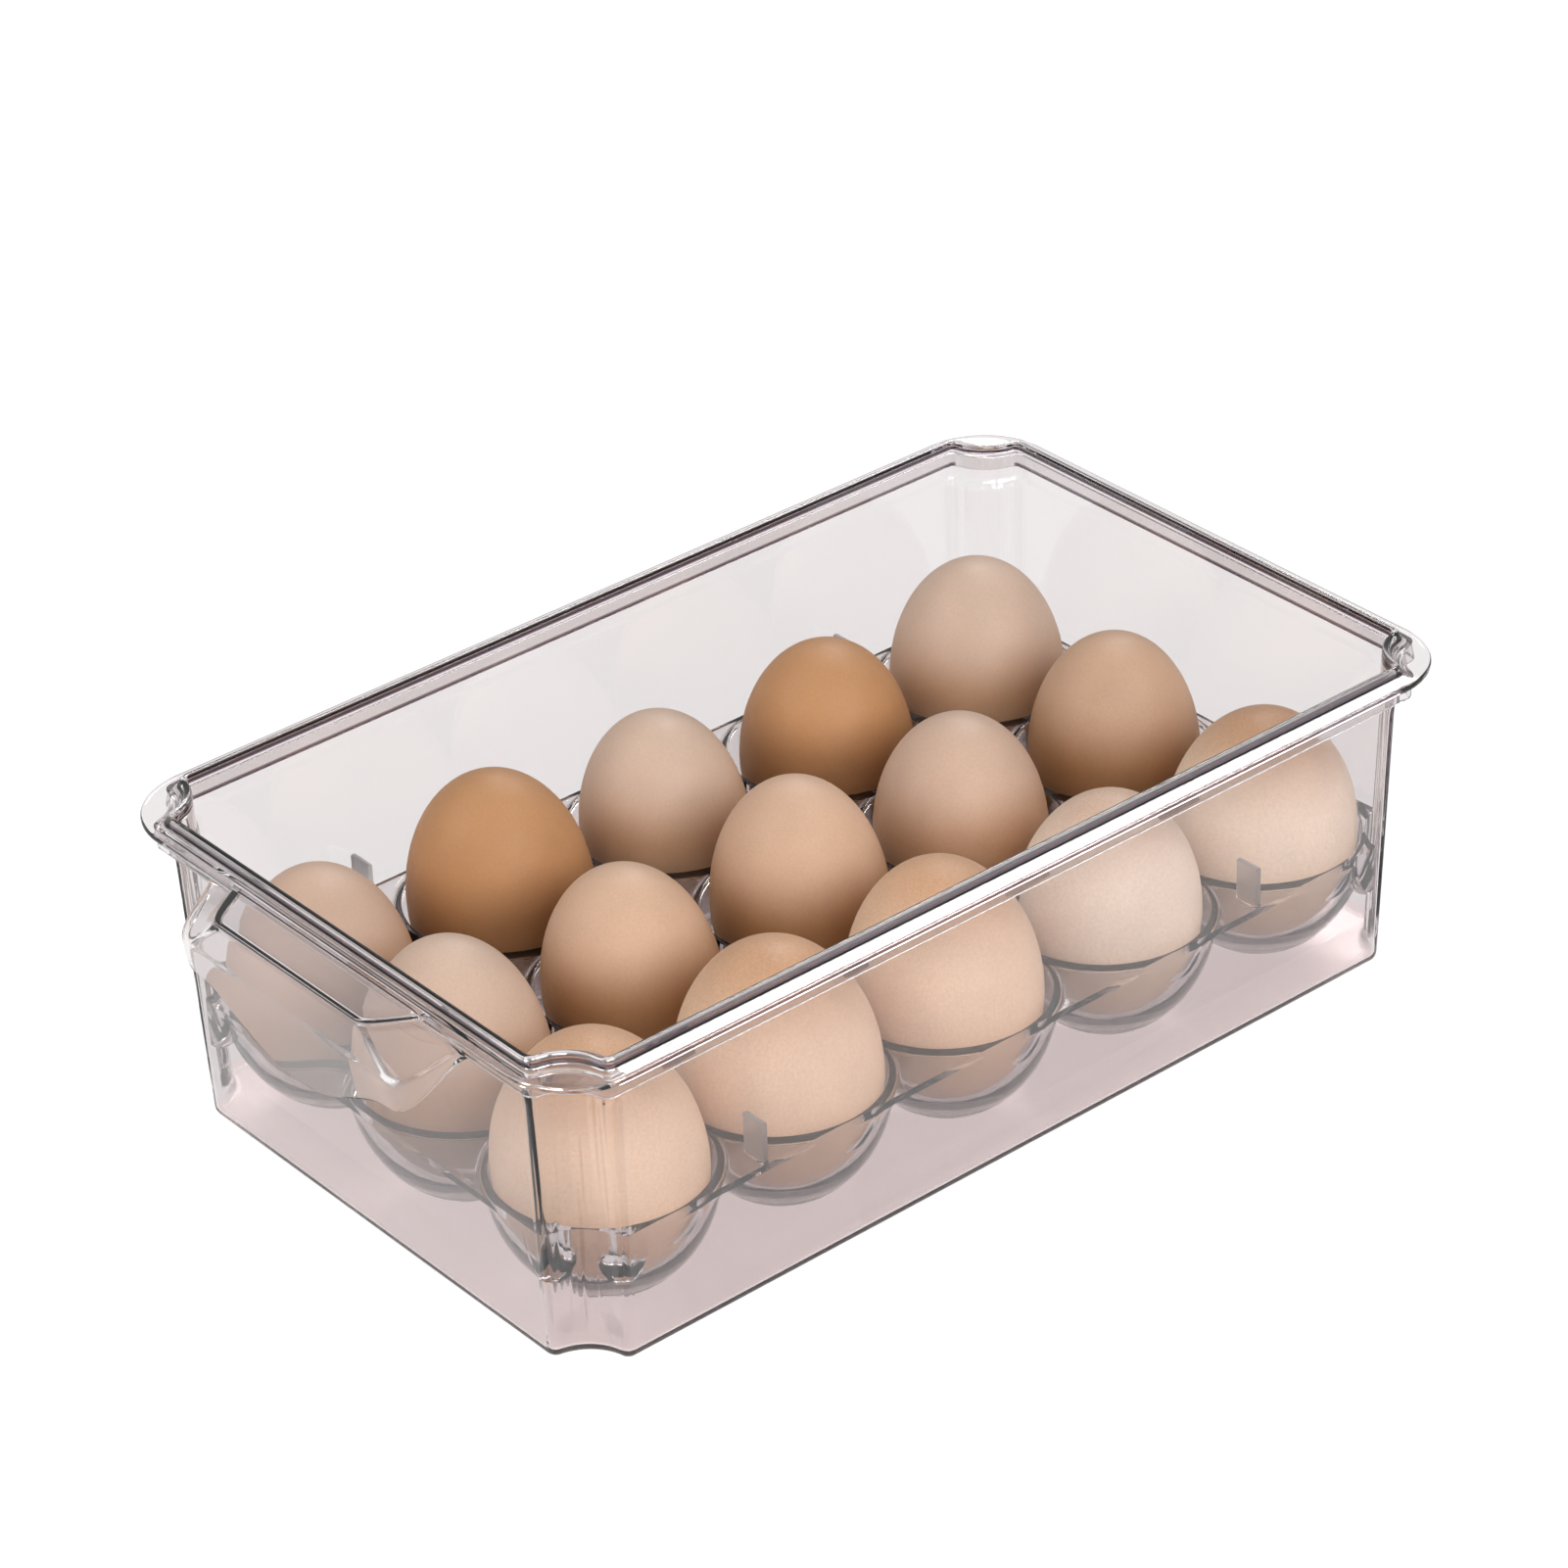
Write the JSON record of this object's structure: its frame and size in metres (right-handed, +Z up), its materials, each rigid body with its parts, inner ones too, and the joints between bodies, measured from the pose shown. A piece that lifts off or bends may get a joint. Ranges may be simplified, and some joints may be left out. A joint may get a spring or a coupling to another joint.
{
  "type": "egg storage box",
  "caption": "Clear plastic refrigerator bin with a hooded pull under one end of its rim, holding a lift-out tray of round cups with a hen's egg in each.",
  "frame": {"origin": "centre of the bin's flat underside, on the surface that the box stands on", "axes": "+Z up; -Y towards the hooded pull; +Y along the long side, away from the pull; +X across the box"},
  "size_m": [0.166, 0.2802, 0.082],
  "materials": {
    "bin_plastic": "clear, polished, very faintly warm grey",
    "tray_plastic": "clear, polished",
    "egg_shell": "matte brown eggshell with fine speckle"
  },
  "bodies": {
    "bin": {"bin": "bin_plastic"},
    "tray": {"egg_tray": "tray_plastic"},
    "egg_far_1_body": {"egg_far_1": "egg_shell"},
    "egg_far_2_body": {"egg_far_2": "egg_shell"},
    "egg_far_3_body": {"egg_far_3": "egg_shell"},
    "egg_far_4_body": {"egg_far_4": "egg_shell"},
    "egg_far_5_body": {"egg_far_5": "egg_shell"},
    "egg_middle_1_body": {"egg_middle_1": "egg_shell"},
    "egg_middle_2_body": {"egg_middle_2": "egg_shell"},
    "egg_middle_3_body": {"egg_middle_3": "egg_shell"},
    "egg_middle_4_body": {"egg_middle_4": "egg_shell"},
    "egg_middle_5_body": {"egg_middle_5": "egg_shell"},
    "egg_near_1_body": {"egg_near_1": "egg_shell"},
    "egg_near_2_body": {"egg_near_2": "egg_shell"},
    "egg_near_3_body": {"egg_near_3": "egg_shell"},
    "egg_near_4_body": {"egg_near_4": "egg_shell"},
    "egg_near_5_body": {"egg_near_5": "egg_shell"}
  },
  "joints": [
    {"name": "tray_lift", "type": "slide", "parent": "bin", "child": "tray", "axis": [0, 0, 1], "range_m": [0, 0.09]},
    {"name": "egg_far_1_lift", "type": "slide", "parent": "tray", "child": "egg_far_1_body", "axis": [0, 0, 1], "range_m": [0, 0.08]},
    {"name": "egg_far_2_lift", "type": "slide", "parent": "tray", "child": "egg_far_2_body", "axis": [0, 0, 1], "range_m": [0, 0.08]},
    {"name": "egg_far_3_lift", "type": "slide", "parent": "tray", "child": "egg_far_3_body", "axis": [0, 0, 1], "range_m": [0, 0.08]},
    {"name": "egg_far_4_lift", "type": "slide", "parent": "tray", "child": "egg_far_4_body", "axis": [0, 0, 1], "range_m": [0, 0.08]},
    {"name": "egg_far_5_lift", "type": "slide", "parent": "tray", "child": "egg_far_5_body", "axis": [0, 0, 1], "range_m": [0, 0.08]},
    {"name": "egg_middle_1_lift", "type": "slide", "parent": "tray", "child": "egg_middle_1_body", "axis": [0, 0, 1], "range_m": [0, 0.08]},
    {"name": "egg_middle_2_lift", "type": "slide", "parent": "tray", "child": "egg_middle_2_body", "axis": [0, 0, 1], "range_m": [0, 0.08]},
    {"name": "egg_middle_3_lift", "type": "slide", "parent": "tray", "child": "egg_middle_3_body", "axis": [0, 0, 1], "range_m": [0, 0.08]},
    {"name": "egg_middle_4_lift", "type": "slide", "parent": "tray", "child": "egg_middle_4_body", "axis": [0, 0, 1], "range_m": [0, 0.08]},
    {"name": "egg_middle_5_lift", "type": "slide", "parent": "tray", "child": "egg_middle_5_body", "axis": [0, 0, 1], "range_m": [0, 0.08]},
    {"name": "egg_near_1_lift", "type": "slide", "parent": "tray", "child": "egg_near_1_body", "axis": [0, 0, 1], "range_m": [0, 0.08]},
    {"name": "egg_near_2_lift", "type": "slide", "parent": "tray", "child": "egg_near_2_body", "axis": [0, 0, 1], "range_m": [0, 0.08]},
    {"name": "egg_near_3_lift", "type": "slide", "parent": "tray", "child": "egg_near_3_body", "axis": [0, 0, 1], "range_m": [0, 0.08]},
    {"name": "egg_near_4_lift", "type": "slide", "parent": "tray", "child": "egg_near_4_body", "axis": [0, 0, 1], "range_m": [0, 0.08]},
    {"name": "egg_near_5_lift", "type": "slide", "parent": "tray", "child": "egg_near_5_body", "axis": [0, 0, 1], "range_m": [0, 0.08]}
  ]
}
